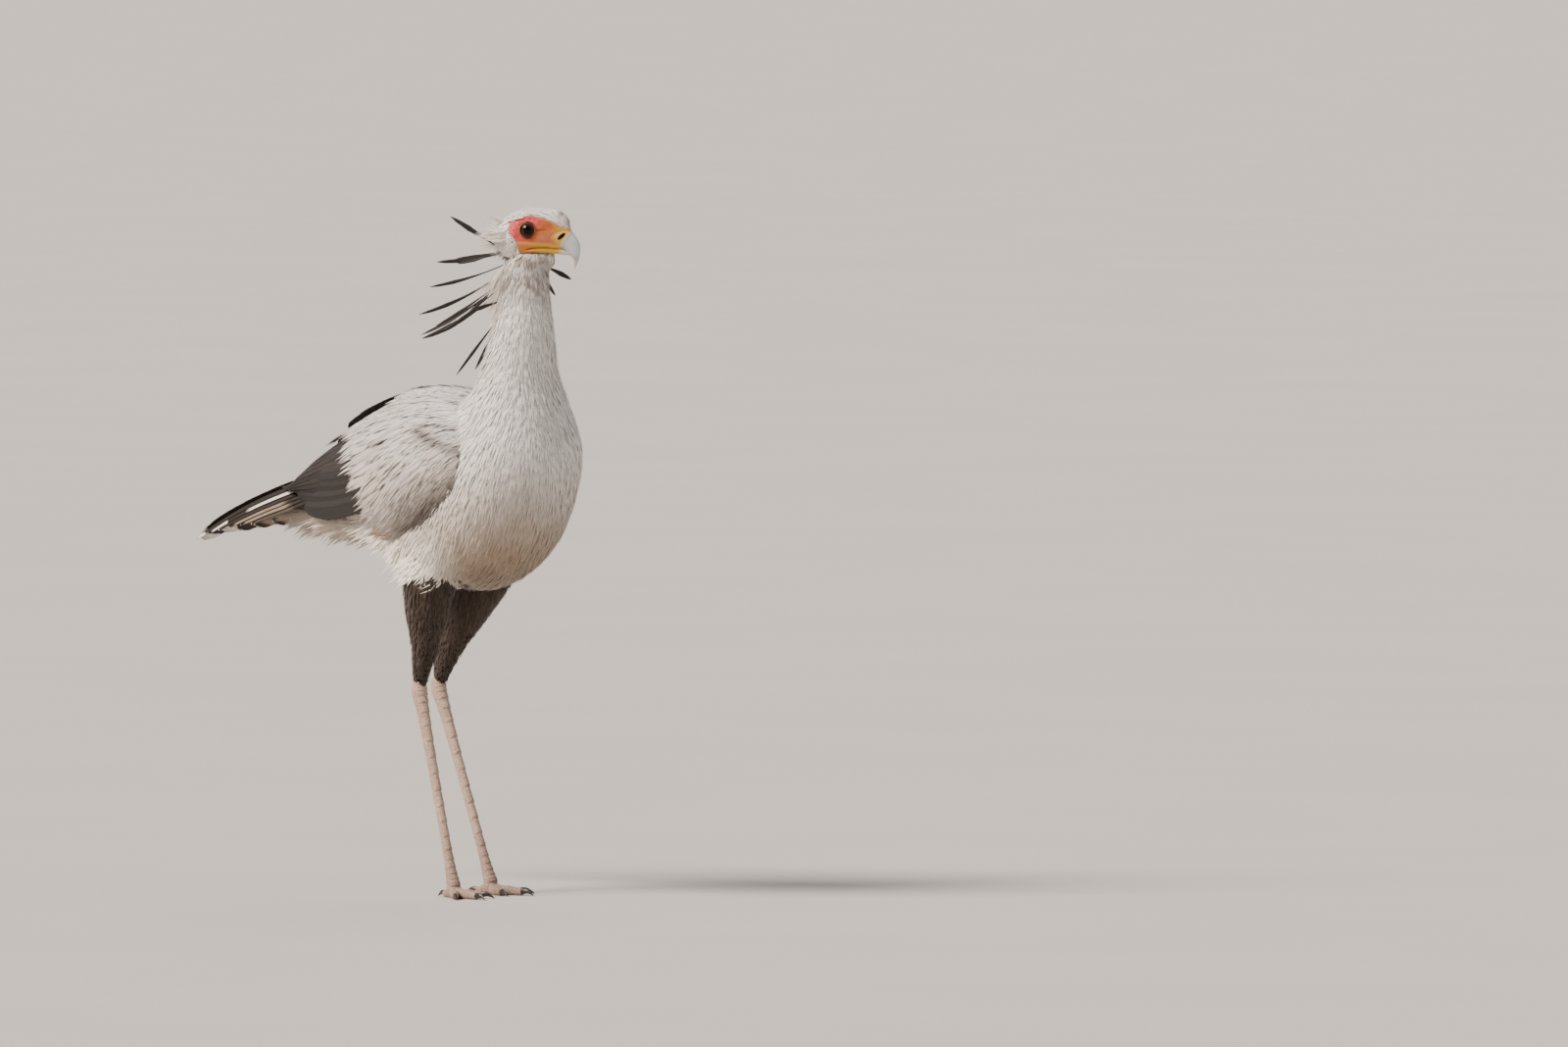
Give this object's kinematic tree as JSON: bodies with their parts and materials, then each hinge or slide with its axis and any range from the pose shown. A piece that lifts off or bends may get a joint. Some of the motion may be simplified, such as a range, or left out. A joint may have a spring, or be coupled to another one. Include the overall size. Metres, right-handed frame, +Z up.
{
  "type": "secretary bird",
  "caption": "Life-size standing secretary bird, a still display model with folded feathered wings, nape crest, hooked bill and long scaled legs.",
  "frame": {"origin": "on the floor, under the middle of the bird's bounding box", "axes": "+X the way the body faces, +Y to the bird's left, +Z up"},
  "size_m": [0.8014, 0.264, 1.0508],
  "materials": {
    "breast plumage": "soft overlapping pale grey-white feathers",
    "wing coverts": "pale grey feathers with browner tips, over black-brown flight feathers",
    "tail plumage": "grey-brown feathers with black bands and white tips",
    "thigh plumage": "short dense black-brown feathers",
    "face skin": "bare finely wrinkled skin, red round the eye and orange towards the bill",
    "cere skin": "bare waxy yellow skin",
    "bill horn": "polished blue-grey horn with a paler tip",
    "eye": "wet dark brown",
    "leg scales": "pinkish grey scales, larger plates at the front",
    "claw horn": "dark horn, worn at the tips"
  },
  "bodies": {
    "root": {"head": "breast plumage", "cere": "cere skin", "bill_upper": "bill horn", "bill_lower": "cere skin", "face_r": "face skin", "eye_r": "eye", "face_l": "face skin", "eye_l": "eye", "neck_upper": "breast plumage", "neck_lower": "breast plumage", "torso": "breast plumage", "tail": "tail plumage", "wing_r": "wing coverts", "thigh_r": "thigh plumage", "shank_r": "leg scales", "foot_r": "leg scales", "toe_inner_r": "leg scales", "claw_inner_r": "claw horn", "toe_middle_r": "leg scales", "claw_middle_r": "claw horn", "toe_outer_r": "leg scales", "claw_outer_r": "claw horn", "toe_hind_r": "leg scales", "claw_hind_r": "claw horn", "wing_l": "wing coverts", "thigh_l": "thigh plumage", "shank_l": "leg scales", "foot_l": "leg scales", "toe_inner_l": "leg scales", "claw_inner_l": "claw horn", "toe_middle_l": "leg scales", "claw_middle_l": "claw horn", "toe_outer_l": "leg scales", "claw_outer_l": "claw horn", "toe_hind_l": "leg scales", "claw_hind_l": "claw horn"}
  },
  "joints": []
}
